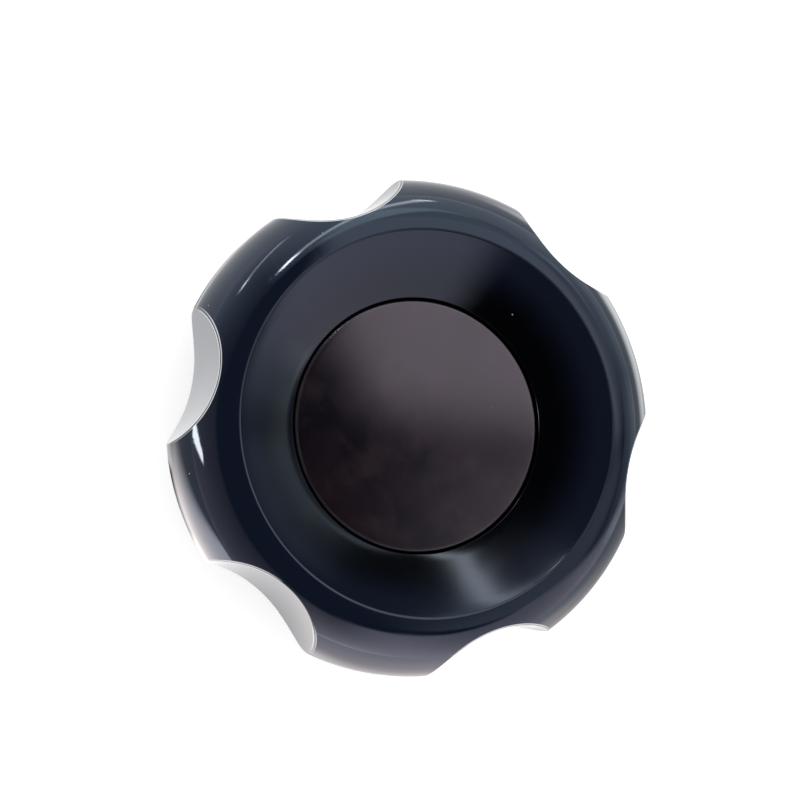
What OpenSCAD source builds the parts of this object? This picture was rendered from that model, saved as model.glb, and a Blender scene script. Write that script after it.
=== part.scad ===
// Fluted handwheel: a moulded wheel with a round rim, a dished front and finger flutes,
// on a moulded-in bush with a set screw, closed by a snap-in centre cap.
// The origin is on the axis, at the rear face of the boss. The front of the wheel faces +Z.

/* [Rim] */
// Diameter over the lobes
wheel_d = 80; // [64:1:110]
// Radius of the rim's round section
rim_r = 10.75; // [8.5:0.25:13]
// Depth taken off the round section to leave the flat back of the rim
rim_flat = 1.5; // [0.5:0.1:3]
// Width of the rim's front, from the lobes in to the edge of the dish
rim_face = 9.2; // [7:0.1:12]
// Radius that rounds the edge of the dish
dish_edge_r = 0.8; // [0.3:0.1:1.5]

/* [Flutes] */
// Number of flutes
flute_count = 6; // [4:1:8]
// Radius of each flute
flute_r = 17.4; // [10:0.1:21]
// Depth of each flute below the lobes
flute_depth = 5.4; // [2:0.1:7]

/* [Dish and pocket] */
// Drop of the dish, from its outer edge to the cap
dish_drop = 6.8; // [4:0.1:9]
// Depth of the pocket under the cap, below the inner edge of the dish
pocket_h = 6.1; // [5.5:0.1:8]
// Thickness of the web behind the pocket
web_t = 4; // [2.5:0.1:6]

/* [Boss and bush] */
// Diameter of the boss
boss_d = 26; // [21:0.5:34]
// How far the boss stands out behind the rim
boss_rise = 9; // [7:0.5:14]
// Diameter of the bore
bore_d = 10; // [6:0.5:12]
// Width across the flats of the bush's hexagonal bar
bush_af = 17; // [14:0.5:21]
// Depth of the waist that keys the bush into the moulding
waist_depth = 1; // [0.5:0.1:1.5]
// Length of that waist
waist_l = 3; // [2:0.5:4]

/* [Set screw] */
// Diameter of the set screw
screw_d = 5; // [3:0.5:6]
// Width across the flats of its socket
socket_af = 2.5; // [1.5:0.5:3]
// Depth of its socket
socket_depth = 2.6; // [1.5:0.1:3]
// How far its outer end lies below the surface of the boss
screw_sink = 1.6; // [0.5:0.1:2.5]

/* [Cap] */
// Diameter of the cap
cap_d = 40.4; // [32:0.2:50]
// Height of the cap's dome
cap_crown = 1.1; // [0.5:0.1:3]
// Thickness of the cap's face
cap_t = 1.8; // [1.2:0.1:2.5]
// Thickness of the cap's skirt
skirt_t = 1.3; // [1:0.1:2]
// Radius that rounds the edge of the cap
cap_edge_r = 0.45; // [0.2:0.05:0.8]
// How far the cap's edge lies below the inner edge of the dish
cap_sink = 0.3; // [0:0.1:1]
// Number of slots that part the skirt into tongues
slot_count = 6; // [3:1:8]
// Width of each slot
slot_w = 1.6; // [1:0.1:3]

/* [Fits] */
// Gap between the cap and the wall of its pocket
cap_gap = 0.35; // [0.2:0.05:0.6]
// How far the cap's bead reaches past the wall of the pocket
snap_bite = 0.3; // [0.2:0.05:0.5]
// Gap between the cap's bead and its groove
snap_gap = 0.15; // [0.1:0.05:0.3]
// Gap round the set screw
screw_gap = 0.1; // [0.05:0.05:0.2]
// How far the point of the set screw stands back from the bore
screw_back = 0.4; // [0.2:0.1:1]

/* [Hidden] */
$fn = 180;

// Overlap that carries a cut past a face
over = 1;
// Width of the small chamfers
chamfer = 0.6;
// Radius that rounds the inner edge of the dish
lip_r = 0.3;
// Radius of the fillet where the boss meets the web
root_r = 1.5;
// Height of the bead above the floor of the pocket
bead_h = 1.5;
// Material left between a slot and the face of the cap
slot_bridge = 0.6;

wheel_r = wheel_d / 2;
boss_r = boss_d / 2;
bore_r = bore_d / 2;
cap_r = cap_d / 2;
pocket_r = cap_r + cap_gap;

// Centre of the rim's round section
rim_c = [wheel_r - rim_r, boss_rise + rim_r - rim_flat];
// Edge of the dish, on the round section
dish_out_r = wheel_r - rim_face;
dish_out = [dish_out_r, rim_c.y + sqrt(pow(rim_r, 2) - pow(dish_out_r - rim_c.x, 2))];
// Inner edge of the dish, at the wall of the pocket
dish_in = [pocket_r, dish_out.y - dish_drop];
dish_angle = atan2(dish_out.y - dish_in.y, dish_out.x - dish_in.x);
floor_z = dish_in.y - pocket_h;
web_z = floor_z - web_t;

cap_edge_z = dish_in.y - cap_sink;
dome_r = (pow(cap_r, 2) + pow(cap_crown, 2)) / (2 * cap_crown);
dome_z = cap_edge_z + cap_crown - dome_r;
bead_z = floor_z + bead_h;
slot_h = cap_edge_z - cap_t - slot_bridge - floor_z;

screw_z = boss_rise / 2;
screw_l = boss_r - screw_sink - bore_r - screw_back;
screw_point = bore_r + screw_back;

// Unit vector at an angle in the plane of the section
function unit(a) = [cos(a), sin(a)];

// The corner k less what lies inside a circle of radius r about c, which touches both sides at t1 and t2
module corner_waste(c, r, t1, k, t2) {
    difference() {
        polygon([c, t1, k, t2]);
        translate(c) circle(r);
    }
}

// What the rounding takes off the edge of the dish, where the sloping dish meets the round section
module dish_edge_waste() {
    slope = unit(dish_angle);
    normal = unit(dish_angle - 90);
    // The centre lies on a line one radius under the dish and on a circle one radius inside the section
    start = dish_out + dish_edge_r * normal - rim_c;
    b = start * slope;
    run = -b + sqrt(pow(b, 2) - start * start + pow(rim_r - dish_edge_r, 2));
    c = rim_c + start + run * slope;
    reach = (c - rim_c) / norm(c - rim_c);
    corner_waste(c, dish_edge_r, c - dish_edge_r * normal, dish_out + over * unit(90), rim_c + rim_r * reach);
}

// What the rounding takes off the inner edge of the dish
module lip_waste() {
    normal = unit(dish_angle - 90);
    half = (90 + dish_angle) / 2;
    back = lip_r / tan(half);
    along = dish_in + back * unit(dish_angle);
    c = along + lip_r * normal;
    corner_waste(c, lip_r, along, dish_in, [pocket_r, c.y]);
}

// Half section of the rim: a round bar with a flat back
module rim_section() {
    difference() {
        translate(rim_c) circle(rim_r);
        translate([0, boss_rise - rim_r]) square([wheel_r + over, rim_r]);
    }
}

// Half section of the web and the boss
module hub_section() {
    polygon([[0, web_z], [rim_c.x, web_z], [rim_c.x, dish_out.y], [0, dish_out.y]]);
    polygon([[0, 0], [boss_r - chamfer, 0], [boss_r, chamfer], [boss_r, web_z + web_t / 2], [0, web_z + web_t / 2]]);
    difference() {
        translate([boss_r - over, web_z - root_r]) square([root_r + over, root_r + over]);
        translate([boss_r + root_r, web_z - root_r]) circle(root_r);
        translate([boss_r + root_r, web_z - 2 * root_r]) square([over, 3 * root_r]);
    }
}

// Half section of the dish and the pocket, with the groove for the cap's bead
module front_hollow() {
    groove = snap_bite + snap_gap;
    above = wheel_r * unit(90);
    polygon([[0, dish_in.y], dish_in, dish_out, dish_out + above, above]);
    translate([0, floor_z]) square([pocket_r, dish_in.y - floor_z + over]);
    polygon([
        [pocket_r - over, bead_z - groove],
        [pocket_r, bead_z - groove],
        [pocket_r + groove, bead_z],
        [pocket_r, bead_z + groove],
        [pocket_r - over, bead_z + groove]
    ]);
    dish_edge_waste();
    lip_waste();
}

// One flute, cut from front to back
module flute() {
    translate([wheel_r - flute_depth + flute_r, 0, boss_rise - over]) cylinder(r = flute_r, h = 2 * rim_r + 2 * over);
}

// Outside of the bush: hexagonal bar with a turned waist
module bush_bar() {
    difference() {
        cylinder(d = bush_af / cos(30), h = floor_z, $fn = 6);
        translate([0, 0, screw_z + (floor_z - screw_z - waist_l) / 2 + screw_d / 4]) difference() {
            cylinder(d = 2 * bush_af, h = waist_l);
            cylinder(d = bush_af - 2 * waist_depth, h = waist_l);
        }
    }
}

// Hole for the set screw, from the axis out through the boss
module screw_hole() {
    translate([0, 0, screw_z]) rotate([-90, 0, 0]) cylinder(d = screw_d + 2 * screw_gap, h = boss_r + over);
}

// The moulding: rim, flutes, dish, pocket, web and boss
module wheel_body() {
    color([0.06, 0.07, 0.09]) difference() {
        rotate_extrude() difference() {
            union() {
                rim_section();
                hub_section();
            }
            front_hollow();
        }
        for (i = [0 : flute_count - 1]) rotate(90 + i * 360 / flute_count) flute();
        bush_bar();
        screw_hole();
    }
}

// Moulded-in bush with the bore
module hub_bush() {
    color([0.78, 0.63, 0.34]) difference() {
        bush_bar();
        translate([0, 0, -over]) cylinder(d = bore_d, h = floor_z + 2 * over);
        translate([0, 0, -over]) cylinder(r1 = bore_r + chamfer + over, r2 = bore_r, h = chamfer + over);
        translate([0, 0, floor_z - chamfer]) cylinder(r1 = bore_r, r2 = bore_r + chamfer + over, h = chamfer + over);
        screw_hole();
    }
}

// Socket set screw, along +Y, with its point just clear of the bore
module set_screw() {
    r = screw_d / 2;
    color([0.2, 0.2, 0.22]) translate([0, screw_point, screw_z]) rotate([-90, 0, 0]) difference() {
        rotate_extrude() polygon([
            [0, 0],
            [r - chamfer, 0],
            [r, chamfer],
            [r, screw_l - chamfer / 2],
            [r - chamfer / 2, screw_l],
            [0, screw_l]
        ]);
        translate([0, 0, screw_l - socket_depth]) cylinder(d = socket_af / cos(30), h = socket_depth + over, $fn = 6);
    }
}

// Half section of the cap: a dome with a skirt and a snap bead
module cap_section() {
    bead = cap_gap + snap_bite;
    c = [cap_r - cap_edge_r, dome_z + sqrt(pow(dome_r - cap_edge_r, 2) - pow(cap_r - cap_edge_r, 2))];
    reach = (c - [0, dome_z]) / norm(c - [0, dome_z]);
    difference() {
        intersection() {
            translate([0, dome_z]) circle(dome_r, $fn = 1440);
            translate([0, floor_z]) square([cap_r, 2 * pocket_h]);
        }
        intersection() {
            translate([0, dome_z]) circle(dome_r - cap_t, $fn = 1440);
            translate([0, floor_z - over]) square([cap_r - skirt_t, 2 * pocket_h]);
        }
        corner_waste(c, cap_edge_r, [cap_r, c.y], [cap_r, cap_edge_z] + over * unit(45), [0, dome_z] + dome_r * reach);
    }
    polygon([
        [cap_r - skirt_t / 2, bead_z - bead],
        [cap_r, bead_z - bead],
        [cap_r + bead, bead_z],
        [cap_r, bead_z + bead],
        [cap_r - skirt_t / 2, bead_z + bead]
    ]);
}

// Snap-in cap: its skirt stands on the floor of the pocket
module centre_cap() {
    color([0.25, 0.24, 0.26]) difference() {
        rotate_extrude() cap_section();
        for (i = [0 : slot_count - 1]) rotate(i * 360 / slot_count)
            translate([cap_r - skirt_t - over, -slot_w / 2, floor_z - over])
                cube([skirt_t + 2 * over, slot_w, slot_h + over]);
    }
}

wheel_body();
hub_bush();
set_screw();
centre_cap();
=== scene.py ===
import math
import bpy
from mathutils import Matrix, Vector


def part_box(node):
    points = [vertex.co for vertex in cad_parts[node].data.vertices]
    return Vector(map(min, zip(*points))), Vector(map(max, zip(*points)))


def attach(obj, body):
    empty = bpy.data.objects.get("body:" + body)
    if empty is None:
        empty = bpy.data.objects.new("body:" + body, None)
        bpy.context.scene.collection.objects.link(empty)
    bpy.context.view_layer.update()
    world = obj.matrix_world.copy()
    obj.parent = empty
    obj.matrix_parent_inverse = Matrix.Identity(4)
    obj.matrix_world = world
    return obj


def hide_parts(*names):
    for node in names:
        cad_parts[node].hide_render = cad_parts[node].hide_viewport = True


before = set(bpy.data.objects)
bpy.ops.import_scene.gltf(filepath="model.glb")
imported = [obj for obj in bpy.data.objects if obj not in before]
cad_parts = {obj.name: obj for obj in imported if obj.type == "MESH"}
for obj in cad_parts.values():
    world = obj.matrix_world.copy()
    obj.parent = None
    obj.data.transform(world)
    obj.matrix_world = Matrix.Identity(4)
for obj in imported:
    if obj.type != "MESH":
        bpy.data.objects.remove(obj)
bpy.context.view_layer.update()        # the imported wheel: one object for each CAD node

mm = 0.001
tolerance = 0.01 * mm    # how near two sizes count as the same
stepSlack = 0.0001       # keeps a value that should just reach a whole step from falling short of it
print("frame loaded:", ", ".join(sorted(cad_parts)))


class Wire:
    # One value in a node tree. Sums and products of wires add Math nodes, so a rule reads as a formula.
    def __init__(self, socket):
        self.socket = socket
        self.tree = socket.id_data

    def calc(self, operation, *others):
        return mathWire(self.tree, operation, self, *others)

    def __add__(self, other):
        return self.calc("ADD", other)

    def __sub__(self, other):
        return self.calc("SUBTRACT", other)

    def __rsub__(self, other):
        return mathWire(self.tree, "SUBTRACT", other, self)

    def __mul__(self, other):
        return self.calc("MULTIPLY", other)

    def __truediv__(self, other):
        return self.calc("DIVIDE", other)

    def __rtruediv__(self, other):
        return mathWire(self.tree, "DIVIDE", other, self)


def plug(node, values):
    # Fills a node's inputs, by name or number, from wires or plain values.
    for key, value in values.items():
        if isinstance(value, Wire):
            value.tree.links.new(value.socket, node.inputs[key])
        else:
            node.inputs[key].default_value = value


def place(tree, kind, values=None, **settings):
    node = tree.nodes.new(kind)
    for name, value in settings.items():
        setattr(node, name, value)
    plug(node, values or {})
    return node


def wireOf(node, output=0):
    return Wire(node.outputs[output])


def placeWire(tree, kind, values=None, **settings):
    # Places a node and gives its first output.
    return wireOf(place(tree, kind, values, **settings))


def mathWire(tree, operation, *values):
    return placeWire(tree, "ShaderNodeMath", dict(enumerate(values)), operation=operation)


def distanceOf(x, y):
    return (x * x + y * y).calc("SQRT")


def splitWire(vector):
    parts = place(vector.tree, "ShaderNodeSeparateXYZ", {0: vector})
    return [wireOf(parts, axis) for axis in "XYZ"]


def joinWire(tree, x=0.0, y=0.0, z=0.0):
    return placeWire(tree, "ShaderNodeCombineXYZ", {0: x, 1: y, 2: z})


def newTree(name, kind, inputs, outputs):
    # A node group with named sockets. The start value's type says which kind each is, and None is geometry.
    kinds = {float: "NodeSocketFloat", int: "NodeSocketInt", type(None): "NodeSocketGeometry"}
    tree = bpy.data.node_groups.new(name, kind)
    for side, sockets in (("INPUT", inputs), ("OUTPUT", outputs)):
        for label, value in sockets.items():
            socket = tree.interface.new_socket(name=label, in_out=side, socket_type=kinds[type(value)])
            if value is not None:
                socket.default_value = value
    source = tree.nodes.new("NodeGroupInput")
    sink = tree.nodes.new("NodeGroupOutput")
    return tree, {label: wireOf(source, label) for label in inputs}, sink


def mapRange(value, low, high, toLow=0.0, toHigh=1.0, smooth=False):
    values = {0: value, 1: low, 2: high, 3: toLow, 4: toHigh}
    easing = "SMOOTHSTEP" if smooth else "LINEAR"
    return placeWire(value.tree, "ShaderNodeMapRange", values, interpolation_type=easing)


def newObject(name, data):
    made = bpy.data.objects.new(name, data)
    bpy.context.scene.collection.objects.link(made)
    return made


def arc(centre, radius, start, end, steps):
    # Points on a round stretch of an outline, both ends included. Angles are in degrees.
    turns = [math.radians(start + (end - start) * k / steps) for k in range(steps + 1)]
    return [(centre[0] + radius * math.cos(t), centre[1] + radius * math.sin(t)) for t in turns]


def between(start, end, steps):
    # Points inside a straight stretch of an outline, without its ends.
    shares = [k / steps for k in range(1, steps)]
    return [(start[0] + (end[0] - start[0]) * s, start[1] + (end[1] - start[1]) * s) for s in shares]


def outlinePiece(name, points):
    # The outline that a tree turns about the axis, as points of radius and height.
    mesh = bpy.data.meshes.new(name)
    mesh.from_pydata([(radius, 0, height) for radius, height in points], [], [])
    return newObject(name, mesh)


def growPiece(piece, tree, values):
    # Runs the tree on the piece and keeps the result as a plain mesh. Inputs are set by identifier.
    modifier = piece.modifiers.new(tree.name, "NODES")
    modifier.node_group = tree
    sockets = tree.interface.items_tree
    identifiers = {item.name: item.identifier for item in sockets if item.in_out == "INPUT"}
    for label, value in values.items():
        modifier[identifiers[label]] = value
    graph = bpy.context.evaluated_depsgraph_get()
    grown = bpy.data.meshes.new_from_object(piece.evaluated_get(graph))
    piece.modifiers.clear()
    piece.data = grown
    print(piece.name, "grown:", len(grown.polygons), "faces")


def turnedGrid(outline, columns):
    # A grid whose rows are the outline's points and whose columns go once round the axis.
    # Gives the grid, the share of the turn, and the outline's radius and height at each point.
    tree = outline.tree
    rows = placeWire(tree, "GeometryNodeAttributeDomainSize", {"Geometry": outline})
    grid = place(tree, "GeometryNodeMeshGrid", {"Vertices X": columns + 1, "Vertices Y": rows})
    index = placeWire(tree, "GeometryNodeInputIndex")
    column = (index / rows + stepSlack).calc("FLOOR")
    point = place(tree, "GeometryNodeSampleIndex", data_type="FLOAT_VECTOR")
    position = placeWire(tree, "GeometryNodeInputPosition")
    plug(point, {"Geometry": outline, "Index": index - column * rows, "Value": position})
    radius, _, height = splitWire(wireOf(point))
    return wireOf(grid), column / columns, radius, height


def merged(body, distance):
    return placeWire(body.tree, "GeometryNodeMergeByDistance", {"Geometry": body, "Distance": distance})


def bendGrid(grid, turn, radius, height):
    # Moves the grid's points to their place round the axis, and closes its seam and poles.
    tree = grid.tree
    spot = joinWire(tree, radius * turn.calc("COSINE"), radius * turn.calc("SINE"), height)
    moved = placeWire(tree, "GeometryNodeSetPosition", {"Geometry": grid, "Position": spot})
    return merged(moved, tolerance / 20)


def sixSided(reach, turn, isSide):
    # Makes a round stretch a hexagon that touches the circle with its flats, where isSide is 1.
    flatTurn = (turn / (math.pi / 3)).calc("FRACT") * (math.pi / 3) - math.pi / 6
    return reach * (isSide * (flatTurn.calc("COSINE").calc("POWER", -1.0) - 1.0) + 1.0)


def isAt(value, target):
    return (value - target).calc("ABSOLUTE").calc("LESS_THAN", tolerance)


def finishTree(sink, body, material, sharpAngle):
    # Smooth shading apart from real corners, then the piece's material.
    tree = sink.id_data
    angle = placeWire(tree, "GeometryNodeInputMeshEdgeAngle")
    sharp = angle.calc("GREATER_THAN", math.radians(sharpAngle))
    shaded = body
    for selection, isSmooth, domain in ((True, True, "FACE"), (sharp, False, "EDGE")):
        values = {"Geometry": shaded, "Selection": selection, "Shade Smooth": isSmooth}
        shaded = placeWire(tree, "GeometryNodeSetShadeSmooth", values, domain=domain)
    real = placeWire(tree, "GeometryNodeRealizeInstances", {"Geometry": shaded})
    painted = placeWire(tree, "GeometryNodeSetMaterial", {"Geometry": real, "Material": material})
    plug(sink, {0: painted})


def drill(body, tool):
    # Takes the tool out of the body and merges the points that the cut leaves on top of each other.
    values = {"Mesh 1": body, "Mesh 2": tool}
    cut = placeWire(body.tree, "GeometryNodeMeshBoolean", values, operation="DIFFERENCE", solver="EXACT")
    return merged(cut, tolerance / 10)


def surfacePoint(tree, kind="Object"):
    return wireOf(place(tree, "ShaderNodeTexCoord"), kind)


def noiseWire(point, scale, detail=2.0, roughness=0.5):
    return placeWire(point.tree, "ShaderNodeTexNoise", {
        "Vector": point, "Scale": scale, "Detail": detail, "Roughness": roughness,
    })


def mouldTextureGroup():
    # The slow ripple and the fine grain that a mould leaves. Sizes are in metres.
    tree, given, sink = newTree("mouldTexture", "ShaderNodeTree", {
        "Ripple Size": 0.006, "Ripple Share": 0.5, "Grain Size": 0.0004, "Grain Share": 0.5,
    }, {"Height": 0.0})
    point = surfacePoint(tree)
    ripple = noiseWire(point, 1.0 / given["Ripple Size"], detail=1.0)
    grain = noiseWire(point, 1.0 / given["Grain Size"], detail=3.0)
    plug(sink, {"Height": ripple * given["Ripple Share"] + grain * given["Grain Share"]})
    return tree


def handlingMarksGroup():
    # Sparse hairline scratches in two directions, as a mask.
    tree, given, sink = newTree("handlingMarks", "ShaderNodeTree", {
        "Length": 0.006, "Width": 0.00006, "Share": 0.1,
    }, {"Mask": 0.0})
    point = surfacePoint(tree)
    mask = None
    for turn in (0.5, 2.1):
        turned = placeWire(tree, "ShaderNodeMapping", {"Vector": point, "Rotation": (0.3 * turn, 0.2, turn)})
        stretch = joinWire(tree, 1.0 / given["Length"], 1.0 / given["Width"], 1.0 / given["Length"])
        scaled = placeWire(tree, "ShaderNodeVectorMath", {0: turned, 1: stretch}, operation="MULTIPLY")
        streaks = noiseWire(scaled, 1.0, detail=0.0)
        lines = mapRange(streaks, 0.74, 0.8)
        mask = lines if mask is None else mask.calc("MAXIMUM", lines)
    patches = noiseWire(point, 1.0 / (given["Length"] * 2.0), detail=1.0)
    wearAndPaintedHighlight = mapRange(patches, 0.5, 0.62)
    plug(sink, {"Mask": mask * wearAndPaintedHighlight * given["Share"]})
    return tree


def dustGroup():
    # Single specks of dust, a few in each square centimetre, as a mask.
    tree, given, sink = newTree("dustSpecks", "ShaderNodeTree", {
        "Spacing": 0.002, "Speck Size": 0.0002, "Share": 0.3,
    }, {"Mask": 0.0})
    point = surfacePoint(tree)
    cells = place(tree, "ShaderNodeTexVoronoi", {"Vector": point, "Scale": 1.0 / given["Spacing"]})
    reach = given["Speck Size"] / given["Spacing"]
    near = wireOf(cells, "Distance").calc("LESS_THAN", reach * 0.5)
    tone = placeWire(tree, "ShaderNodeSeparateColor", {0: wireOf(cells, "Color")})
    plug(sink, {"Mask": near * tone.calc("LESS_THAN", given["Share"])})
    return tree


def paintedEdgeHighlightGroup():
    # A thin pale line painted along a turned edge as a highlight, patchy along its length, as a mask.
    tree, given, sink = newTree("paintedEdgeHighlight", "ShaderNodeTree", {
        "Radius": 0.02, "Width": 0.0003, "Lowest": 0.02, "Patch Size": 0.008,
    }, {"Mask": 0.0})
    point = surfacePoint(tree)
    x, y, z = splitWire(point)
    off = (distanceOf(x, y) - given["Radius"]).calc("ABSOLUTE")
    line = mapRange(off, 0.0, given["Width"], 1.0, 0.0, smooth=True)
    patches = mapRange(noiseWire(point, 1.0 / given["Patch Size"], detail=3.0), 0.35, 0.6, 0.45)
    plug(sink, {"Mask": line * patches * z.calc("GREATER_THAN", given["Lowest"])})
    return tree


mouldTexture = mouldTextureGroup()
handlingMarks = handlingMarksGroup()
dustSpecks = dustGroup()
paintedEdgeHighlight = paintedEdgeHighlightGroup()


def newMaterial(name, **look):
    # A material with one Principled BSDF. look holds the values that are the same all over.
    material = bpy.data.materials.new(name)
    material.use_nodes = True
    tree = material.node_tree
    shader = tree.nodes["Principled BSDF"]
    for label, value in look.items():
        shader.inputs[label.replace("_", " ")].default_value = value
    return material, tree, shader


def useGroup(tree, group, values):
    return placeWire(tree, "ShaderNodeGroup", values, node_tree=group)


def bumpWire(height, depth):
    return placeWire(height.tree, "ShaderNodeBump", {"Height": height, "Strength": 1.0, "Distance": depth})


def mixTint(share, first, second):
    # From the first colour, which may be a wire that already varies, to the second.
    start = first if isinstance(first, Wire) else (*first, 1.0)
    node = place(share.tree, "ShaderNodeMix", {0: share, 6: start, 7: (*second, 1.0)}, data_type="RGBA")
    return wireOf(node, 2)


wheel = {
    "rimRadius": 10.75 * mm,        # round section of the rim
    "rimHeight": 18.25 * mm,        # its centre, above the rear face of the boss
    "rimBack": 9.0 * mm,            # height of the flat back of the rim
    "backRounding": 0.35 * mm,
    "dishRadius": 30.8 * mm,        # edge of the dish
    "dishDrop": 6.8 * mm,
    "dishRounding": 0.8 * mm,
    "lipRounding": 0.3 * mm,
    "pocketRadius": 20.55 * mm,
    "grooveDepth": 0.45 * mm,
    "grooveRise": 1.5 * mm,         # middle of the groove, above the pocket's floor
    "webBack": 11.988 * mm,
    "rootRounding": 1.5 * mm,
    "bossRadius": 13.0 * mm,
    "bossChamfer": 0.6 * mm,
    "waistRadius": 7.5 * mm,
    "waistLow": 9.994 * mm,
    "waistHigh": 12.994 * mm,
    "screwHole": 5.2 * mm,
    "fluteCount": 6,
    "fluteRadius": 17.4 * mm,
    "fluteDepth": 5.4 * mm,
    "edgeSoftness": 0.42 * mm,      # how far the rounding of the flutes' edges reaches
    "paintedEdgeHighlight": 0.34 * mm,          # how far from the flutes' edge the painted highlight line lies
    "paintedEdgeHighlightWidth": 0.24 * mm,
    "paintedEdgeHighlightRise": (19.0 * mm, 25.0 * mm),   # heights over which that line comes in
    "filmTints": ((0.0001, 0.0001, 0.0010), (0.0050, 0.0074, 0.0172)),   # painted shade: darkest at the pocket, lighter and bluer out on the dish
    "paintedDishShadeRise": (22.5 * mm, 28.5 * mm),       # radii over which the one passes into the other
    # painted highlights: along the dish's edge, and beside the flutes' edges
    "paintedDishEdgeTint": (0.028, 0.031, 0.036),
    "paintedFluteEdgeTint": (0.86, 0.87, 0.88),
    "dustTint": (0.33, 0.34, 0.36),
    "polish": (0.045, 0.085),       # roughness on the rim and the flutes
    "satin": (0.13, 0.17),          # and in the dish
    "polishRise": (30.3 * mm, 31.1 * mm),     # radii where satin becomes polish
    "fluteColumns": 34,             # mesh columns over half a flute
    "lobeColumns": 20,              # and over half a lobe
    "bandAngle": 2.6,               # degrees of the section, each side of a flute's edge, meshed finely
    "bandStart": 45.0,              # where that band lies in the outline before the flutes are cut
}
capLow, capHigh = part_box("centre_cap")
screwLow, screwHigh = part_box("set_screw")
wheelRadius = -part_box("wheel_body")[0].x
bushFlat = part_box("hub_bush")[1].y
pocketFloor = capLow.z
screwHeight = (screwLow.z + screwHigh.z) / 2
rimCentre = (wheelRadius - wheel["rimRadius"], wheel["rimHeight"])


def dishEdge():
    # The dish's inner edge and slope, the centre of the round that joins it to the rim, and the angle
    # of the rim's section where that round ends.
    rim = Vector(rimCentre)
    offset = wheel["dishRadius"] - rim.x
    corner = Vector((wheel["dishRadius"], rim.y + math.sqrt(wheel["rimRadius"] ** 2 - offset ** 2)))
    inner = Vector((wheel["pocketRadius"], corner.y - wheel["dishDrop"]))
    slope = (corner - inner).normalized()
    normal = Vector((slope.y, -slope.x))
    rounding = wheel["dishRounding"]
    start = corner + rounding * normal - rim
    along = start.dot(slope)
    run = -along + math.sqrt(along ** 2 - start.dot(start) + (wheel["rimRadius"] - rounding) ** 2)
    centre = rim + start + run * slope
    reach = centre - rim
    return inner, slope, centre, math.degrees(math.atan2(reach.y, reach.x))


def lipRound(inner, slope):
    # The round on the inner edge of the dish.
    rounding = wheel["lipRounding"]
    lean = math.atan2(slope.y, slope.x)
    half = (math.pi / 2 + lean) / 2
    normal = Vector((slope.y, -slope.x))
    centre = inner + slope * (rounding / math.tan(half)) + normal * rounding
    return arc(centre, rounding, 180, 90 + math.degrees(lean), 5)


def rimArc(top, bottom):
    # The rim's round section, with close rows where the flutes' edges will fall.
    band, start = wheel["bandAngle"], wheel["bandStart"]
    stretches = [
        (top, start + band, 15), (start + band, start - band, 12), (start - band, 0, 9),
        (0, band - start, 9), (band - start, -band - start, 12), (-band - start, bottom, 5),
    ]
    points = []
    for first, last, steps in stretches:
        points += arc(rimCentre, wheel["rimRadius"], first, last, steps)[:-1]
    return points


def backCorner():
    # The round between the rim's section and its flat back, and the angle where it starts.
    rim = Vector(rimCentre)
    rounding = wheel["backRounding"]
    drop = rim.y - wheel["rimBack"] - rounding
    reach = wheel["rimRadius"] - rounding
    angle = -math.degrees(math.asin(drop / reach))
    centre = rim + Vector((math.sqrt(reach ** 2 - drop ** 2), -drop))
    return centre, angle


def wheelOutline():
    # Half section of the moulding: over the pocket, the dish and the rim, and back under the web.
    inner, slope, edgeCentre, topAngle = dishEdge()
    dishAngle = math.degrees(math.atan2(slope.y, slope.x))
    backCentre, backAngle = backCorner()
    pocket, groove = wheel["pocketRadius"], wheel["grooveDepth"]
    grooveHeight = pocketFloor + wheel["grooveRise"]
    rises = [(wheel[key] - wheel["rimHeight"]) / wheel["rimRadius"] for key in ("rimBack", "webBack")]
    innerStart, innerEnd = [math.degrees(math.asin(rise)) for rise in rises]
    boss, chamfer, root = wheel["bossRadius"], wheel["bossChamfer"], wheel["rootRounding"]
    lip = lipRound(inner, slope)
    edge = arc(edgeCentre, wheel["dishRounding"], 90 + dishAngle, topAngle, 8)
    points = [(bushFlat, pocketFloor), (pocket, pocketFloor), (pocket, grooveHeight - groove)]
    points += [(pocket + groove, grooveHeight), (pocket, grooveHeight + groove)]
    points += lip + between(lip[-1], edge[0], 7) + edge[:-1]
    points += rimArc(topAngle, backAngle)
    back = arc(backCentre, wheel["backRounding"], backAngle, -90, 4)
    inside = arc(rimCentre, wheel["rimRadius"], -180 - innerStart, -180 - innerEnd, 6)
    points += back + between(back[-1], inside[0], 5) + inside
    fillet = arc((boss + root, wheel["webBack"] - root), root, 90, 180, 5)
    points += between(inside[-1], fillet[0], 3) + fillet
    points += [(boss, chamfer), (boss - chamfer, 0), (bushFlat, 0)]
    waist, low, high = wheel["waistRadius"], wheel["waistLow"], wheel["waistHigh"]
    points += [(bushFlat, low), (waist, low), (waist, high), (bushFlat, high), (bushFlat, pocketFloor)]
    return points, topAngle, -backAngle


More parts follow.
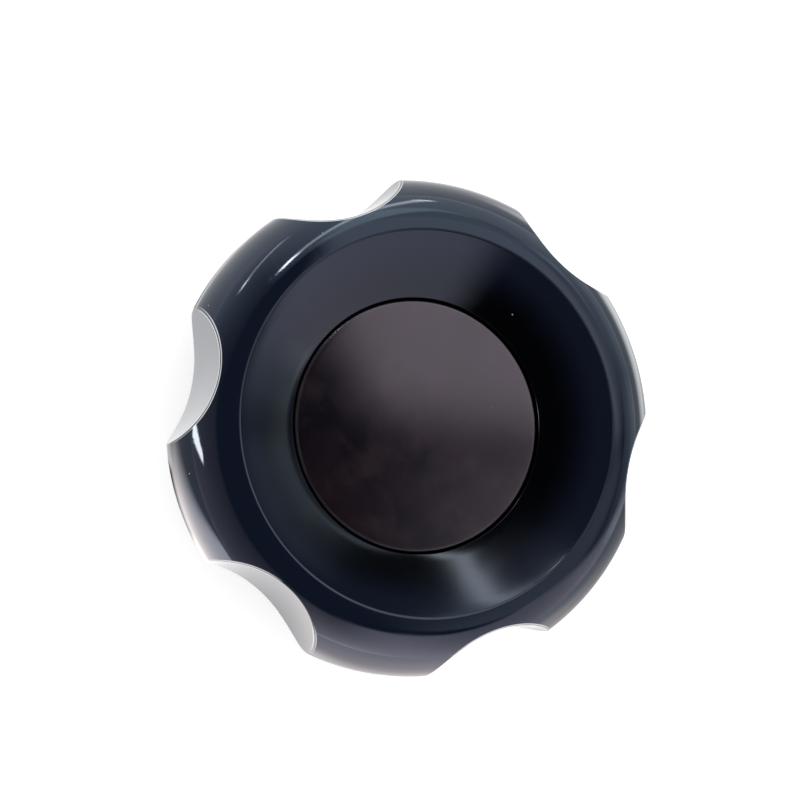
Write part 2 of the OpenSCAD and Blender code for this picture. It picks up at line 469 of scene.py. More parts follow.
def flutedWheelTree(sizes, material):
    # Turns the outline about the axis and cuts the flutes by a rule: a point on the rim keeps to the nearer
    # of its own surface and the flute's wall, softened where they meet.
    inputs = {"Outline": None, **sizes}
    tree, given, sink = newTree("flutedWheel", "GeometryNodeTree", inputs, {"Wheel": None})
    count, outer, rimRadius = given["Flute Count"], given["Wheel Radius"], given["Rim Radius"]
    fluteRadius, rimHeight = given["Flute Radius"], given["Rim Height"]
    half = count.calc("POWER", -1.0) * math.pi
    rimX = outer - rimRadius
    fluteX = outer - given["Flute Depth"] + fluteRadius
    halfColumns = given["Flute Columns"] + given["Lobe Columns"]
    grid, share, radius, height = turnedGrid(given["Outline"], count * halfColumns * 2.0)

    # Columns: even steps along a flute's edge, then wider and wider over the lobe.
    flutesPassed = share * count
    sector = (flutesPassed + stepSlack).calc("FLOOR")
    local = (flutesPassed - sector) * 2.0 - 1.0
    depth = local.calc("ABSOLUTE")
    fluteShare = given["Flute Columns"] / halfColumns
    cosEnd = (fluteX * fluteX + outer * outer - fluteRadius * fluteRadius) / (fluteX * outer * 2.0)
    endTurn = cosEnd.calc("ARCCOSINE")
    inFlute = ((depth / fluteShare).calc("MINIMUM", 1.0) * (math.pi / 2)).calc("SINE") * endTurn
    overLobe = ((depth - fluteShare).calc("MAXIMUM", 0.0) / (1.0 - fluteShare)).calc("POWER", 2.0)
    turnLocal = inFlute + (half - endTurn) * overLobe
    turn = (sector * 2.0 + 1.0) * half + turnLocal * local.calc("SIGN")

    # Where the flute's wall stands on this column, and at what angle of the section it leaves the rim.
    across = turnLocal.calc("SINE") * fluteX
    room = (fluteRadius * fluteRadius - across * across).calc("MAXIMUM", 0.0).calc("SQRT")
    wall = turnLocal.calc("COSINE") * fluteX - room - rimX
    edgeAngle = (wall / rimRadius).calc("MINIMUM", 1.0).calc("ARCCOSINE")

    # Rows: the close band of rows slides along the section, so that it follows the flute's edge.
    outX = radius - rimX
    outZ = height - rimHeight
    reach = distanceOf(outX, outZ)
    angle = outZ.calc("ARCTAN2", outX)
    size = angle.calc("ABSOLUTE")
    isTop = outZ.calc("GREATER_THAN", 0.0)
    end = given["Back Angle"] + (given["Top Angle"] - given["Back Angle"]) * isTop
    band = given["Band Angle"]
    bandLow = (edgeAngle - band).calc("MAXIMUM", band).calc("MINIMUM", end - band * 3.0)
    refLow = given["Band Start"] - band
    refHigh = given["Band Start"] + band
    slid = (mapRange(size, 0.0, refLow, 0.0, bandLow)
            + mapRange(size, refLow, refHigh, 0.0, band * 2.0)
            + mapRange(size, refHigh, end, 0.0, end - bandLow - band * 2.0))
    onRim = size.calc("LESS_THAN", end + stepSlack)
    newAngle = (size + (slid - size) * onRim) * angle.calc("SIGN")
    cosAngle = newAngle.calc("COSINE")
    toWall = wall / cosAngle.calc("MAXIMUM", 0.05)
    newReach = reach.calc("SMOOTH_MIN", toWall, given["Edge Softness"])
    gap = (reach - toWall).calc("ABSOLUTE") + onRim.calc("LESS_THAN", 0.5)
    values = {"Geometry": grid, "Name": "fluteGap", "Value": gap}
    grid = placeWire(tree, "GeometryNodeStoreNamedAttribute", values)
    cutX = rimX + newReach * cosAngle
    cutZ = rimHeight + newReach * newAngle.calc("SINE")

    # The seat of the bush is a hexagon.
    cutX = sixSided(cutX, turn, isAt(radius, given["Hexagon Flat"]))
    body = bendGrid(grid, turn, cutX, cutZ)

    # The cross hole for the set screw. It is turned by half a step, so that no corner lies on a column.
    sides, depth = 64, given["Hole Reach"]
    tool = placeWire(tree, "GeometryNodeMeshCylinder", {
        "Vertices": sides, "Radius": given["Hole Diameter"] * 0.5, "Depth": depth,
    })
    offset = joinWire(tree, y=depth * 0.5, z=given["Hole Height"])
    laid = placeWire(tree, "GeometryNodeTransform", {
        "Geometry": tool, "Translation": offset, "Rotation": (math.pi / 2, math.pi / sides, 0),
    })
    finishTree(sink, drill(body, laid), material, 34)
    return tree


def glossBlackMaterial():
    # Blue-black moulding: polished on the rim and the flutes, satin in the dish, with specks of dust,
    # painted shade deepening into the pocket and painted highlight lines along the dish's edge and the
    # flutes' edges.
    material, tree, shader = newMaterial("glossBlack", IOR=1.65, Specular_Tint=(0.62, 0.76, 1.0, 1.0))
    marks = useGroup(tree, handlingMarks, {"Length": 0.007, "Width": 0.00012, "Share": 0.5})
    dust = useGroup(tree, dustSpecks, {"Spacing": 0.0040, "Speck Size": 0.00024, "Share": 0.45})
    mould = useGroup(tree, mouldTexture, {
        "Ripple Size": 0.011, "Ripple Share": 1.0, "Grain Size": 0.0006, "Grain Share": 0.03,
    })
    point = surfacePoint(tree)
    x, y, z = splitWire(point)
    radius = distanceOf(x, y)
    isRim = mapRange(radius, *wheel["polishRise"], smooth=True)
    # Painted shade: nearly black by the pocket, lighter and bluer out towards the rim.
    film = mapRange(radius, *wheel["paintedDishShadeRise"]).calc("POWER", 1.7)
    smear = noiseWire(point, 90.0, detail=3.0)
    polished = mapRange(smear, 0.3, 0.7, *wheel["polish"])
    satin = mapRange(smear, 0.3, 0.7, *wheel["satin"])
    # Painted highlight: a pale line along the dish's edge, patchy.
    wearAndPaintedHighlight = useGroup(tree, paintedEdgeHighlight, {
        "Radius": wheel["dishRadius"] + 0.05 * mm, "Width": 0.24 * mm,
        "Lowest": 26 * mm, "Patch Size": 0.009,
    })
    withPaintedLight = mixTint(wearAndPaintedHighlight, mixTint(film, *wheel["filmTints"]), wheel["paintedDishEdgeTint"])
    # Painted highlight: a near-white line beside the flutes' edges, on their upper part, in patches.
    gap = wireOf(place(tree, "ShaderNodeAttribute", attribute_name="fluteGap"), "Fac")
    offLine = (gap - wheel["paintedEdgeHighlight"]).calc("ABSOLUTE")
    patches = mapRange(noiseWire(point, 45.0, detail=3.0), 0.42, 0.52)
    paintedHighlightPatches = mapRange(z, *wheel["paintedEdgeHighlightRise"]) * patches
    edge = mapRange(offLine, 0.0, wheel["paintedEdgeHighlightWidth"], 1.0, 0.0, smooth=True) * paintedHighlightPatches
    withPaintedLight = mixTint(edge, withPaintedLight, wheel["paintedFluteEdgeTint"])
    plug(shader, {
        "Base Color": mixTint(dust, withPaintedLight, wheel["dustTint"]),
        "Roughness": satin + (polished - satin) * isRim + marks * 0.08 + dust * 0.5,
        "Normal": bumpWire(mould - marks * 0.02, 0.05 * mm),
    })
    return material


def makeWheelBody():
    points, topAngle, backAngle = wheelOutline()
    piece = outlinePiece("wheelBody", points)
    sizes = {
        "Wheel Radius": wheelRadius, "Rim Radius": wheel["rimRadius"], "Rim Height": wheel["rimHeight"],
        "Flute Count": wheel["fluteCount"], "Flute Radius": wheel["fluteRadius"],
        "Flute Depth": wheel["fluteDepth"], "Edge Softness": wheel["edgeSoftness"],
        "Flute Columns": wheel["fluteColumns"], "Lobe Columns": wheel["lobeColumns"],
        "Band Start": math.radians(wheel["bandStart"]), "Band Angle": math.radians(wheel["bandAngle"]),
        "Top Angle": math.radians(topAngle), "Back Angle": math.radians(backAngle),
        "Hexagon Flat": bushFlat, "Hole Diameter": wheel["screwHole"], "Hole Height": screwHeight,
        "Hole Reach": wheel["bossRadius"] * 1.2,
    }
    growPiece(piece, flutedWheelTree(sizes, glossBlackMaterial()), sizes)
    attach(piece, "root")
    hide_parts("wheel_body")


cap = {
    "radius": 20.2 * mm,
    "crown": 1.1 * mm,
    "edgeRounding": 0.45 * mm,
    "wall": 1.8 * mm,
    "skirt": 1.3 * mm,
    "beadRise": 1.5 * mm,
    "slots": 6,
    "slotWidth": 1.6 * mm,
    "slotTop": 3.4 * mm,
    "columns": 240,
    "tints": ((0.0007, 0.0011, 0.0035), (0.0089, 0.0050, 0.0080)),
    "cloudTint": (0.020, 0.012, 0.015),
    # painted highlight along the cap's edge
    "paintedCapEdgeTint": (0.030, 0.027, 0.030),
    "dustTint": (0.27, 0.27, 0.28),
}


def capOutline():
    # Half section of the cap, from the middle of its face over the edge, down the skirt and back inside.
    bead = capHigh.x - cap["radius"]
    top = capHigh.z
    dome = (cap["radius"] ** 2 + cap["crown"] ** 2) / (2 * cap["crown"])
    middle = top - dome
    rounding = cap["edgeRounding"]
    roundX = cap["radius"] - rounding
    roundZ = middle + math.sqrt((dome - rounding) ** 2 - roundX ** 2)
    lean = math.degrees(math.atan2(roundZ - middle, roundX))
    face = arc((0, middle), dome, 90, lean, 24)
    edge = arc((roundX, roundZ), rounding, lean, 0, 8)
    beadHeight = pocketFloor + cap["beadRise"]
    skirtInside = cap["radius"] - cap["skirt"]
    under = dome - cap["wall"]
    underLean = math.degrees(math.acos(skirtInside / under))
    inside = arc((0, middle), under, underLean, 90, 8)
    points = [(0, top)] + face[1:] + edge[1:]
    side = cap["radius"]
    points += [(side, beadHeight + bead), (capHigh.x, beadHeight), (side, beadHeight - bead)]
    points += [(side, pocketFloor), (skirtInside, pocketFloor)] + inside[:-1]
    return points + [(0, inside[-1][1])]


def turnedCapTree(sizes, material):
    # Turns the outline and saws the slots that part the skirt into tongues.
    inputs = {"Outline": None, **sizes}
    tree, given, sink = newTree("turnedCap", "GeometryNodeTree", inputs, {"Cap": None})
    grid, share, radius, height = turnedGrid(given["Outline"], given["Columns"])
    body = bendGrid(grid, share * (2 * math.pi), radius, height)
    count, width = given["Slots"], given["Slot Width"]
    ring = placeWire(tree, "GeometryNodeMeshCircle", {"Vertices": count, "Radius": given["Slot Radius"]})
    size = joinWire(tree, width * 3.0, width, given["Slot Height"] * 2.0)
    saw = placeWire(tree, "GeometryNodeMeshCube", {"Size": size})
    position = placeWire(tree, "GeometryNodeInputPosition")
    outward = placeWire(tree, "FunctionNodeAlignRotationToVector", {"Vector": position}, axis="X")
    values = {"Points": ring, "Instance": saw, "Rotation": outward}
    saws = placeWire(tree, "GeometryNodeInstanceOnPoints", values)
    rise = joinWire(tree, z=given["Floor"])
    raised = placeWire(tree, "GeometryNodeTransform", {"Geometry": saws, "Translation": rise})
    realSaws = placeWire(tree, "GeometryNodeRealizeInstances", {"Geometry": raised})
    finishTree(sink, drill(body, realSaws), material, 30)
    return tree


def satinGreyMaterial():
    # Satin lacquer over the cap's warm grey moulding, with a painted highlight along its edge.
    material, tree, shader = newMaterial(
        "satinGrey", IOR=1.6, Specular_Tint=(0.95, 0.72, 1.0, 1.0),
        Coat_Weight=1.0, Coat_Roughness=0.13, Coat_IOR=1.5,
    )
    marks = useGroup(tree, handlingMarks, {"Length": 0.004, "Width": 0.00010, "Share": 0.4})
    dust = useGroup(tree, dustSpecks, {"Spacing": 0.0040, "Speck Size": 0.00016, "Share": 0.3})
    mould = useGroup(tree, mouldTexture, {
        "Ripple Size": 0.02, "Ripple Share": 1.0, "Grain Size": 0.0003, "Grain Share": 0.05,
    })
    point = surfacePoint(tree)
    smear = noiseWire(point, 60.0, detail=4.0)
    warm = mapRange(noiseWire(point, 110.0, detail=2.0), 0.35, 0.65)
    cloud = mapRange(noiseWire(point, 150.0, detail=4.0, roughness=0.62), 0.48, 0.70, 0.0, 0.8)
    # Painted highlight: a pale line along the cap's top edge, patchy.
    wearAndPaintedHighlight = useGroup(tree, paintedEdgeHighlight, {
        "Radius": cap["radius"] - 0.3 * mm, "Width": 0.36 * mm,
        "Lowest": capHigh.z - 1.7 * mm, "Patch Size": 0.006,
    })
    cloudy = mixTint(cloud, mixTint(warm, *cap["tints"]), cap["cloudTint"])
    withPaintedLight = mixTint(wearAndPaintedHighlight, cloudy, cap["paintedCapEdgeTint"])
    plug(shader, {
        "Base Color": mixTint(dust, withPaintedLight, cap["dustTint"]),
        "Roughness": mapRange(smear, 0.3, 0.7, 0.14, 0.20) + marks * 0.06 + dust * 0.4,
        "Normal": bumpWire(mould - marks * 0.02, 0.03 * mm),
    })
    return material


def makeCap():
    piece = outlinePiece("centreCap", capOutline())
    sizes = {
        "Columns": cap["columns"], "Slots": cap["slots"], "Slot Width": cap["slotWidth"],
        "Slot Height": cap["slotTop"], "Slot Radius": cap["radius"] - cap["skirt"] / 2,
        "Floor": pocketFloor,
    }
    growPiece(piece, turnedCapTree(sizes, satinGreyMaterial()), sizes)
    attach(piece, "root")
    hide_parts("centre_cap")


bush = {
    "tints": ((0.76, 0.58, 0.28), (0.58, 0.42, 0.20)),
    "roughness": (0.22, 0.4),
}


def turnedBrassMaterial():
    material, tree, shader = newMaterial("turnedBrass", Metallic=1.0)
    point = surfacePoint(tree)
    grooves = place(tree, "ShaderNodeTexWave", {
        "Vector": point, "Scale": 2200.0, "Distortion": 1.5, "Detail": 1.0,
    }, wave_type="BANDS", bands_direction="Z")
    tarnish = noiseWire(point, 220.0, detail=4.0)
    plug(shader, {
        "Base Color": mixTint(tarnish, *bush["tints"]),
        "Roughness": mapRange(tarnish, 0.3, 0.7, *bush["roughness"]),
        "Normal": bumpWire(wireOf(grooves, "Fac"), 0.01 * mm),
    })
    return material


def finishBush():
    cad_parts["hub_bush"].material_slots[0].material = turnedBrassMaterial()


screw = {
    "pitch": 0.8 * mm,
    "threadDepth": 0.42 * mm,
    "pointChamfer": 0.6 * mm,
    "socketFlat": 1.25 * mm,
    "socketDepth": 2.6 * mm,
    "columns": 72,
    "threadRows": 96,
    "tints": ((0.10, 0.10, 0.11), (0.17, 0.165, 0.16)),
    "roughness": (0.32, 0.5),
}
screwRadius = (screwHigh.x - screwLow.x) / 2
screwLength = screwHigh.y - screwLow.y


def screwOutline():
    # Along the screw's own axis: the point, the threaded side, the end face and the socket.
    length, radius, chamfer = screwLength, screwRadius, screw["pointChamfer"]
    flat, depth = screw["socketFlat"], screw["socketDepth"]
    side = between((radius, 0), (radius, length), screw["threadRows"])
    points = [(0, 0), (radius - chamfer, 0)] + side
    points += [(radius - chamfer / 2, length), (flat + 0.25 * mm, length), (flat, length - 0.15 * mm)]
    return points + [(flat, length - depth), (0, length - depth - 0.5 * mm)]


def threadedScrewTree(sizes, material):
    # Turns the outline, winds the thread round its side and makes the socket a hexagon.
    inputs = {"Outline": None, **sizes}
    tree, given, sink = newTree("threadedScrew", "GeometryNodeTree", inputs, {"Screw": None})
    grid, share, radius, height = turnedGrid(given["Outline"], given["Columns"])
    isThread = isAt(radius, given["Radius"])
    phase = (height / given["Pitch"] - share).calc("FRACT")
    crest = (phase - 0.5).calc("ABSOLUTE") * 2.4
    groove = crest.calc("MINIMUM", 1.0) * given["Thread Depth"]
    atPoint = given["Radius"] - given["Chamfer"] + height
    atEnd = given["Radius"] - given["Chamfer"] * 0.5 + (given["Length"] - height)
    cut = (radius - groove).calc("MINIMUM", atPoint).calc("MINIMUM", atEnd)
    radius = radius + (cut - radius) * isThread
    turn = share * (2 * math.pi)
    radius = sixSided(radius, turn, isAt(radius, given["Socket Flat"]))
    body = bendGrid(grid, turn, radius, height)
    offset = joinWire(tree, y=given["Start"], z=given["Height"])
    laid = placeWire(tree, "GeometryNodeTransform", {
        "Geometry": body, "Translation": offset, "Rotation": (-math.pi / 2, 0, 0),
    })
    finishTree(sink, laid, material, 28)
    return tree


def blackOxideMaterial():
    material, tree, shader = newMaterial("blackOxide", Metallic=1.0)
    point = surfacePoint(tree)
    mould = useGroup(tree, mouldTexture, {
        "Ripple Size": 0.001, "Ripple Share": 0.4, "Grain Size": 0.0001, "Grain Share": 0.6,
    })
    patches = noiseWire(point, 900.0, detail=3.0)
    plug(shader, {
        "Base Color": mixTint(patches, *screw["tints"]),
        "Roughness": mapRange(patches, 0.3, 0.7, *screw["roughness"]),
        "Normal": bumpWire(mould, 0.01 * mm),
    })
    return material


def makeScrew():
    piece = outlinePiece("setScrew", screwOutline())
    sizes = {
        "Columns": screw["columns"], "Radius": screwRadius, "Length": screwLength,
        "Pitch": screw["pitch"], "Thread Depth": screw["threadDepth"], "Chamfer": screw["pointChamfer"],
        "Socket Flat": screw["socketFlat"], "Start": screwLow.y, "Height": screwHeight,
    }
    growPiece(piece, threadedScrewTree(sizes, blackOxideMaterial()), sizes)
    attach(piece, "root")
    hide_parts("set_screw")


def direction(azimuth, elevation):
    turn, rise = math.radians(azimuth), math.radians(elevation)
    return Vector((math.cos(turn) * math.cos(rise), math.sin(turn) * math.cos(rise), math.sin(rise)))


camera = {
    "aim": Vector((-3.6, 4.9, 28.9)) * mm,
    "distance": 466.4 * mm,
    "azimuth": 176.3,               # the side that the camera leans to
    "elevation": 72.3,
    "upAzimuth": 70.95,             # which way is up in the view
    "lens": 133.6,
}


def makeCamera():
    data = bpy.data.cameras.new("camera")
    data.lens = camera["lens"]
    data.sensor_width = 36
    data.clip_start, data.clip_end = 0.01, 50
    seat = newObject("camera", data)
    back = direction(camera["azimuth"], camera["elevation"])
    right = direction(camera["upAzimuth"], 0).cross(back).normalized()
    up = back.cross(right)
    seat.matrix_world = Matrix((right, up, back)).transposed().to_4x4()
    seat.location = camera["aim"] + back * camera["distance"]
    bpy.context.scene.camera = seat
    bpy.context.scene.view_settings.view_transform = "Standard"


studio = {
    "ceiling": 1100 * mm,           # height of the hanging lamps
    "distance": 1000 * mm,          # how far off the ones all round are
    "turn": -19.0,                  # how far the ceiling rig is turned about the vertical, in degrees
    "cardSteps": 10,                # mesh steps along each side of a lamp
    "lampGap": 0.01,                # how much closer each lamp is than the one before, so that none meet
    "paperGap": 0.1 * mm,           # and how much higher each one on the floor is
    "curtainRadius": 44 * mm,
    "curtainFoot": 25.55 * mm,
    "curtainLean": 1.20 * mm,       # how much higher the foot is on the side away from the camera
    "curtainStep": 3.0,             # degrees between the curtains' columns
    "floorSize": 12.0,
    "floorShade": 0.80,
    "floorLift": 0.60,              # what lifts the floor to white for the camera
    "floorDrop": 0.05 * mm,         # keeps the floor off the boss
    "skyLight": 0.86,               # even light on matt surfaces
    "horizonGlow": 0.12,            # what a gloss shows of the room at the horizon and above it
    "roomGlow": 0.012,
    "horizonReach": 0.10,
}
# Lamps are cards with four corners: near left, near right, far right and far left. On the ceiling these are
# across and along the rig, as shares of its height; all round, azimuth and elevation; on the floor, mm.
# Fades are the shares over which the light sets in from the left, the right, the near and the far side.
lamps = {
    "mainBox": {
        "at": "ceiling", "corners": [(0.158, 0.02), (1.55, -0.10), (1.55, 1.05), (-0.28, 1.05)],
        "strength": 1.12, "tint": (1.0, 0.99, 1.0), "fades": (0.12, 0.45, 0.19, 0.0),
    },
    "farBox": {
        "at": "ceiling", "corners": [(-0.27, 1.05), (1.75, 1.05), (0.75, 2.20), (-0.06, 2.25)],
        "strength": 0.90, "tint": (0.90, 1.0, 0.94), "fades": (0.13, 0.30, 0.0, 0.42),
    },
    "spillBox": {
        "at": "ceiling", "corners": [(1.05, -0.15), (1.85, -0.10), (1.85, 1.50), (1.05, 1.50)],
        "strength": 0.60, "tint": (0.97, 0.99, 1.0), "fades": (0.5, 0.3, 0.38, 0.15),
    },
    "washBox": {
        "at": "ceiling", "corners": [(0.10, -0.85), (2.20, -0.95), (2.20, 0.05), (0.10, 0.08)],
        "strength": 0.47, "tint": (0.98, 0.97, 1.0), "fades": (0.25, 0.48, 0.15, 0.15),
    },
    "longTube": {
        "at": "ceiling", "corners": [(-0.480, 0.902), (-0.380, 0.858), (2.566, 6.638), (1.834, 6.962)],
        "strength": 4.2, "tint": (1.0, 0.93, 0.86), "fades": (0.3, 0.3, 0.01, 0.1),
        "nearGlow": 26.0, "nearShare": 0.035, "farGlow": 8.0,
    },
    "sideTube": {
        "at": "ceiling", "corners": [(-2.648, 2.672), (-2.292, 2.728), (-2.806, 8.077), (-3.794, 7.923)],
        "strength": 3.8, "tint": (1.0, 0.93, 0.86), "fades": (0.3, 0.3, 0.01, 0.1),
        "nearGlow": 16.0, "nearShare": 0.10, "farGlow": 0.5,
    },
    "window": {
        "at": "round", "corners": [(-121, 1), (-14, 1), (-52, 40), (-121, 46)],
        "strength": 1.06, "tint": (1.0, 0.87, 0.89), "fades": (0.28, 0.15, 0.06, 0.1),
    },
    "sideWindow": {
        "at": "round", "corners": [(-41, 1), (-11, 1), (-11, 17), (-41, 17)],
        "strength": 0.45, "tint": (0.92, 0.97, 1.0), "fades": (0.2, 0.5, 0.1, 0.2),
    },
    "farWall": {
        "at": "round", "corners": [(-17, 1), (33, 1), (33, 17), (-17, 17)],
        "strength": 0.18, "tint": (0.9, 0.95, 1.0), "fades": (0.2, 0.4, 0.1, 0.2),
    },
    "cornerLamp": {
        "at": "round", "corners": [(153, 8), (163, 2), (172, 18.5), (168, 21)],
        "strength": 20.0, "tint": (1.0, 0.90, 0.76), "fades": (0.25, 0.25, 0.1, 0.1),
    },
    "leftPaper": {
        "at": "floor", "corners": [(-51, 33), (-15, -55), (-372, -200), (-408, -112)],
        "strength": 3.7, "tint": (1.15, 1.0, 0.92), "fades": (0.36, 0.60, 0.04, 0.50),
    },
    "frontPaper": {
        "at": "floor", "corners": [(-100, -18), (70, -46), (700, -2000), (-1900, -1500)],
        "strength": 0.50, "tint": (1.5, 0.92, 0.80), "fades": (0.3, 0.3, 0.02, 0.3),
    },
    "rightPaper": {
        "at": "floor", "corners": [(58, -40), (140, -50), (120, 75), (44, 66)],
        "strength": 1.65, "tint": (1.0, 1.0, 0.95), "fades": (0.25, 0.60, 0.25, 0.25),
    },
}
# Sheer curtains round the wheel. By azimuth: the top's height in mm, and the strength at foot and top.
curtains = {
    "coolCurtain": {
        "tint": (0.93, 1.0, 0.98),
        "stations": {
            -62: (34, 0.04, 0.03), -48: (34, 0.40, 0.08), -37: (34, 0.45, 0.30), -25: (34.8, 0.65, 0.34),
            -15: (35.2, 1.15, 0.40), -5: (35.2, 0.62, 0.46), 5: (35.2, 0.9, 0.62), 15: (35.2, 0.93, 0.72),
            26: (35.2, 1.50, 0.84), 38: (34.8, 1.40, 1.0), 51: (34, 1.25, 1.1), 64: (34.5, 1.25, 1.2),
            80: (39.5, 1.4, 1.15), 99: (44, 1.15, 0.62), 108: (46, 1.1, 0.38), 117: (46, 1.05, 0.07),
            130: (46, 0.95, 0.06), 150: (43, 0.5, 0.02), 170: (39, 0.02, 0.01),
        },
    },
    "warmCurtain": {
        "tint": (1.22, 1.0, 0.93),
        "stations": {
            150: (40, 0.10, 0.08), 160: (39, 0.38, 0.13), 176: (38.5, 0.65, 0.14), 196: (38.5, 0.75, 0.13),
            210: (39, 1.1, 0.14), 222: (38, 2.1, 0.38), 236: (38, 2.6, 0.36), 252: (41, 1.65, 0.34),
            269: (37, 0.9, 0.06), 285: (36, 0.6, 0.04), 300: (36, 0.6, 0.14), 312: (33.5, 0.12, 0.03),
            320: (33, 0.02, 0.02),
        },
    },
}
# How bright the floor shows in a gloss. The sides hold how much more or less that is towards each azimuth.
floorGlow = {
    "levels": (1.20, 1.20, 1.15),   # under the wheel, close to it and far from it
    "underTo": (47 * mm, 53 * mm),  # over which distances from the axis one passes to the next
    "farFrom": (60 * mm, 110 * mm),
    "sides": {
        176: (-0.20, -0.65, -0.65), 150: (0.45, 0.0, 0.0),
        -100: (0.0, 0.15, 0.60), -42: (0.0, -0.50, -0.20), 0: (0.0, -0.10, -0.40),
    },
    "contactShade": (0.4 * mm, 3.6 * mm),   # how far past the lobes the dark beneath the wheel reaches
    "leanSide": 176,                # on this side it reaches further and fades more slowly
    "leanReach": 1.2 * mm,
    "leanStretch": 0.55,
}


def clearedTree(holder):
    # The empty node tree of a material or a world.
    holder.use_nodes = True
    holder.node_tree.nodes.clear()
    return holder.node_tree


def fadeIn(distance, share):
    return mapRange(distance, 0.0, max(share, 0.001), smooth=True)


def lampMaterial(name, look, attribute=None):
    # Light that fades in from each side of a sheer card. A tube's ends may glow more.
    # A curtain's strength is kept on its points, as its logarithm, so that it dims evenly to the eye.
    material = bpy.data.materials.new(name)
    tree = clearedTree(material)
    across, along, _ = splitWire(surfacePoint(tree, "UV"))
    left, right, near, far = look["fades"]
    mask = fadeIn(across, left) * fadeIn(1.0 - across, right)
    mask = mask * fadeIn(along, near) * fadeIn(1.0 - along, far)
    level = mask * look["strength"]
    if "nearGlow" in look:
        share = look["nearShare"]
        nearEnd = mapRange(along, share * 0.6, share, look["nearGlow"], 0.0, smooth=True)
        farEnd = mapRange(along, 0.7, 0.9, 0.0, look["farGlow"], smooth=True)
        level = level + mask * (nearEnd + farEnd)
    if attribute:
        stored = wireOf(place(tree, "ShaderNodeAttribute", attribute_name=attribute), "Fac")
        level = level * stored.calc("EXPONENT")
    lamp = placeWire(tree, "ShaderNodeEmission", {"Color": (*look["tint"], 1.0), "Strength": level})
    clear = placeWire(tree, "ShaderNodeBsdfTransparent")
    both = placeWire(tree, "ShaderNodeAddShader", {0: clear, 1: lamp})
    place(tree, "ShaderNodeOutputMaterial", {"Surface": both})
    return material


def hangSheet(name, points, faces, shares, material, glossOnly=True):
    # A sheet of light that the camera doesn't see. shares holds how far across and along each point is.
    mesh = bpy.data.meshes.new(name)
    mesh.from_pydata(points, [], faces)
    layer = mesh.uv_layers.new(name="UVMap")
    for loop in mesh.loops:
        layer.data[loop.index].uv = shares[loop.vertex_index]
    mesh.materials.append(material)
    sheet = newObject(name, mesh)
    sheet.visible_camera = False
    sheet.visible_shadow = False
    sheet.visible_diffuse = not glossOnly
    return mesh


def lampPoint(at, spot, order):
    share = 1 - studio["lampGap"] * order
    if at == "ceiling":
        turn = Matrix.Rotation(math.radians(studio["turn"]), 3, "Z")
        return turn @ Vector((spot.x, spot.y, 1)) * (studio["ceiling"] * share)
    if at == "round":
        return direction(spot.x, spot.y) * (studio["distance"] * share)
    return Vector((spot.x * mm, spot.y * mm, studio["paperGap"] * order))


def makeLamp(name, look, order):
    steps = studio["cardSteps"]
    nearLeft, nearRight, farRight, farLeft = (Vector(corner) for corner in look["corners"])
    points, shares = [], []
    for row in range(steps + 1):
        along = row / steps
        left, right = nearLeft.lerp(farLeft, along), nearRight.lerp(farRight, along)
        for column in range(steps + 1):
            across = column / steps
            points.append(lampPoint(look["at"], left.lerp(right, across), order))
            shares.append((across, along))
    wide = steps + 1
    starts = [row * wide + column for row in range(steps) for column in range(steps)]
    faces = [(k, k + 1, k + wide + 1, k + wide) for k in starts]
    hangSheet(name, points, faces, shares, lampMaterial(name, look), glossOnly=name != "mainBox")


def makeCurtain(name, look):
    # The height and the strength change evenly from one station to the next.
    stations = look["stations"]
    turns = sorted(stations)
    points, shares, glows = [], [], []
    columns = round((turns[-1] - turns[0]) / studio["curtainStep"])
    for k in range(columns + 1):
        azimuth = turns[0] + (turns[-1] - turns[0]) * k / columns
        after = max(next(i for i, turn in enumerate(turns) if turn >= azimuth - 0.001), 1)
        low, high = turns[after - 1], turns[after]
        share = (azimuth - low) / (high - low)
        top, foot, crest = [a + (b - a) * share for a, b in zip(stations[low], stations[high])]
        ahead = direction(azimuth, 0)
        spot = ahead * studio["curtainRadius"]
        lean = -ahead.dot(direction(camera["azimuth"], 0)) * studio["curtainLean"]
        points += [(spot.x, spot.y, studio["curtainFoot"] + lean), (spot.x, spot.y, top * mm)]
        shares += [(0.5, 0), (0.5, 1)]
        glows += [math.log(foot), math.log(crest)]
    faces = [(2 * k, 2 * k + 2, 2 * k + 3, 2 * k + 1) for k in range(columns)]
    light = {"strength": 1.0, "tint": look["tint"], "fades": (0, 0, 0.045, 0.18)}
    mesh = hangSheet(name, points, faces, shares, lampMaterial(name, light, attribute="glow"))
    mesh.attributes.new("glow", "FLOAT", "POINT").data.foreach_set("value", glows)


def makeLights():
    for order, (name, look) in enumerate(lamps.items()):
        makeLamp(name, look, order)
    for name, look in curtains.items():
        makeCurtain(name, look)


def makeWorld():
    # White for the camera, dim in a gloss, and a plain even light for matt surfaces.
    world = bpy.data.worlds.new("studioRoom")
    bpy.context.scene.world = world
    tree = clearedTree(world)
    rays = place(tree, "ShaderNodeLightPath")
    rise = splitWire(surfacePoint(tree, "Generated"))[2]
    glows = (studio["horizonGlow"], studio["roomGlow"])
    backdrop = mapRange(rise, 0.0, studio["horizonReach"], *glows, smooth=True)
    shown = backdrop.calc("MAXIMUM", wireOf(rays, "Is Camera Ray"))
    level = shown + wireOf(rays, "Is Diffuse Ray") * (studio["skyLight"] - shown)
    light = placeWire(tree, "ShaderNodeBackground", {"Color": (1.0, 1.0, 1.0, 1.0), "Strength": level})
    place(tree, "ShaderNodeOutputWorld", {"Surface": light})


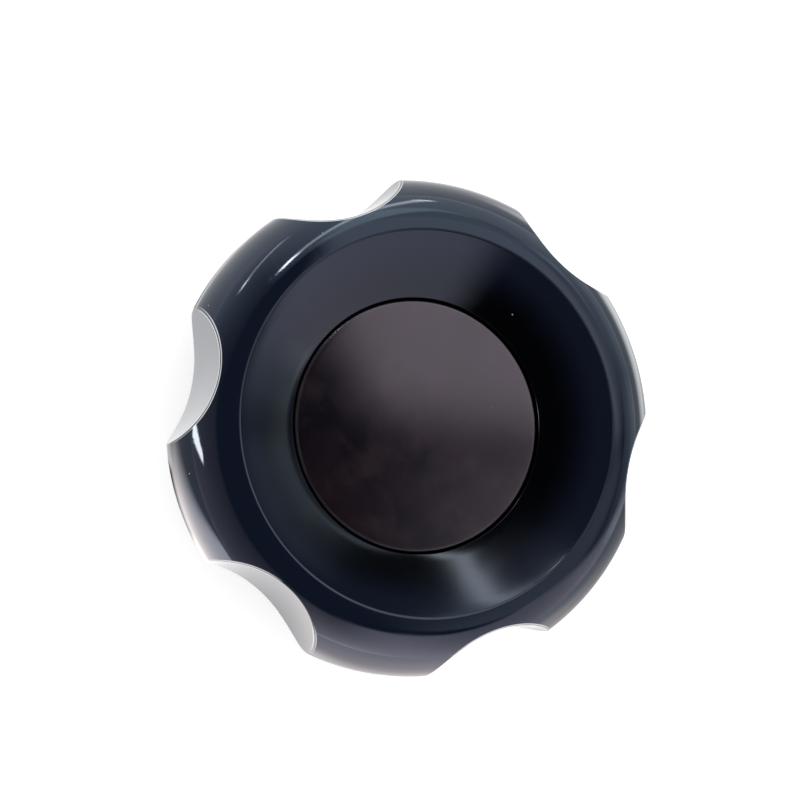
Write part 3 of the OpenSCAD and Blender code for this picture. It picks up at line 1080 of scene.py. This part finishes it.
def glowWire(tree):
    # How bright the floor shows in a gloss. It is dark beneath the wheel and just past its lobes.
    x, y, _ = splitWire(surfacePoint(tree))
    away = distanceOf(x, y)
    beside = mapRange(away, *floorGlow["underTo"], smooth=True)
    distant = mapRange(away, *floorGlow["farFrom"], smooth=True)

    def facing(azimuth):
        ahead = direction(azimuth, 0)
        return mapRange((x * ahead.x + y * ahead.y) / away, 0.5, 1.0)

    def byDistance(under, close, far):
        return beside * (close - under) + distant * (far - close) + under

    glow = byDistance(*floorGlow["levels"])
    for azimuth, change in floorGlow["sides"].items():
        glow = glow + facing(azimuth) * byDistance(*change)
    lean = facing(floorGlow["leanSide"])
    past = (away - wheelRadius) * (1.0 - lean * floorGlow["leanStretch"]) - lean * floorGlow["leanReach"]
    start, end = floorGlow["contactShade"]
    for k in range(wheel["fluteCount"]):
        outward = direction(360 / wheel["fluteCount"] * (k + 0.5), 0)
        axis = outward * (wheelRadius - wheel["fluteDepth"] + wheel["fluteRadius"])
        inFlute = wheel["fluteRadius"] + end - distanceOf(x - axis.x, y - axis.y)
        past = past.calc("MAXIMUM", inFlute)
    return glow * mapRange(past, start, end, smooth=True)


def makeFloor():
    # Pale matt floor that keeps the shadow. The camera sees it lifted to white, and a gloss sees its glow.
    material = bpy.data.materials.new("paleFloor")
    tree = clearedTree(material)
    rays = place(tree, "ShaderNodeLightPath")
    isCamera = wireOf(rays, "Is Camera Ray")
    isGloss = wireOf(rays, "Is Glossy Ray").calc("MAXIMUM", wireOf(rays, "Is Transmission Ray"))
    shade = studio["floorShade"]
    matt = placeWire(tree, "ShaderNodeBsdfDiffuse", {"Color": (shade, shade, shade, 1.0)})
    lift = placeWire(tree, "ShaderNodeEmission", {"Strength": isCamera * studio["floorLift"]})
    seen = placeWire(tree, "ShaderNodeAddShader", {0: matt, 1: lift})
    mirrored = placeWire(tree, "ShaderNodeEmission", {"Strength": glowWire(tree)})
    both = placeWire(tree, "ShaderNodeMixShader", {0: isGloss, 1: seen, 2: mirrored})
    place(tree, "ShaderNodeOutputMaterial", {"Surface": both})
    reach, level = studio["floorSize"] / 2, -studio["floorDrop"]
    corners = [(x * reach, y * reach, level) for x, y in ((-1, -1), (1, -1), (1, 1), (-1, 1))]
    mesh = bpy.data.meshes.new("floor")
    mesh.from_pydata(corners, [], [(0, 1, 2, 3)])
    mesh.materials.append(material)
    floor = newObject("floor", mesh)


makeCamera()
makeFloor()
makeWorld()
makeLights()
print("studio ready")
makeWheelBody()
makeCap()
finishBush()
makeScrew()
